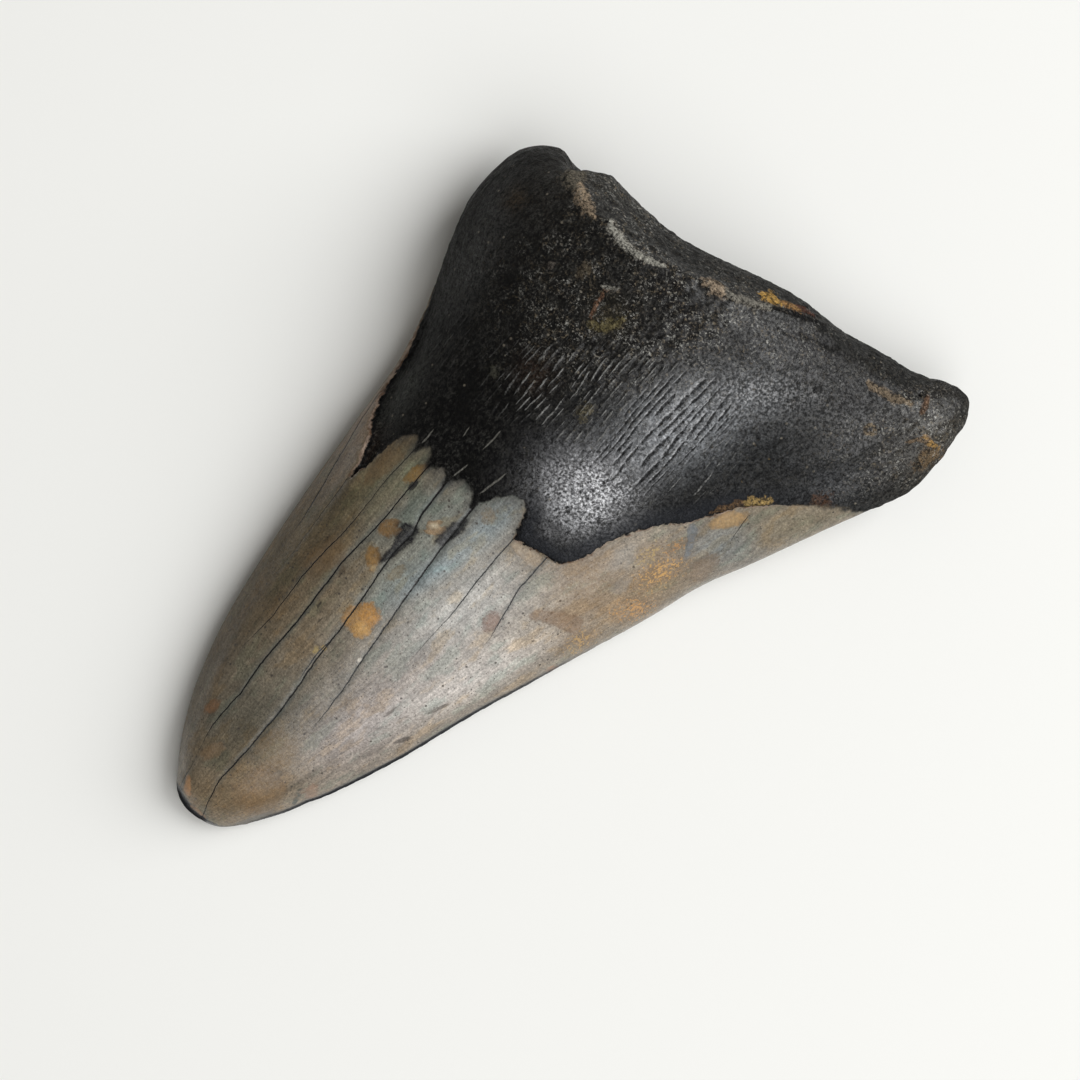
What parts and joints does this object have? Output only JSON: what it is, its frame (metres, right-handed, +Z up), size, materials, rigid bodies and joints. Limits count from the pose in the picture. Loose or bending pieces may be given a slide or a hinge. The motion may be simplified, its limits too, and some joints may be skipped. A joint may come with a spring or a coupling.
{
  "type": "fossil shark tooth",
  "caption": "Fossil shark tooth: broad, thick two-lobed root and a smooth, worn, triangular crown, domed on one face and nearly flat on the other.",
  "frame": {"origin": "centre of the bottom of the bounding box, on the surface that the tooth lies on", "axes": "+Y from the crown's tip to the root, +X across the crown, +Z up, out of the domed inner face"},
  "size_m": [0.075, 0.1229, 0.0245],
  "materials": {
    "tooth": "semi-gloss, mineralised: grey-brown enamel crown and near-black root"
  },
  "bodies": {
    "root": {"tooth": "tooth"}
  },
  "joints": []
}
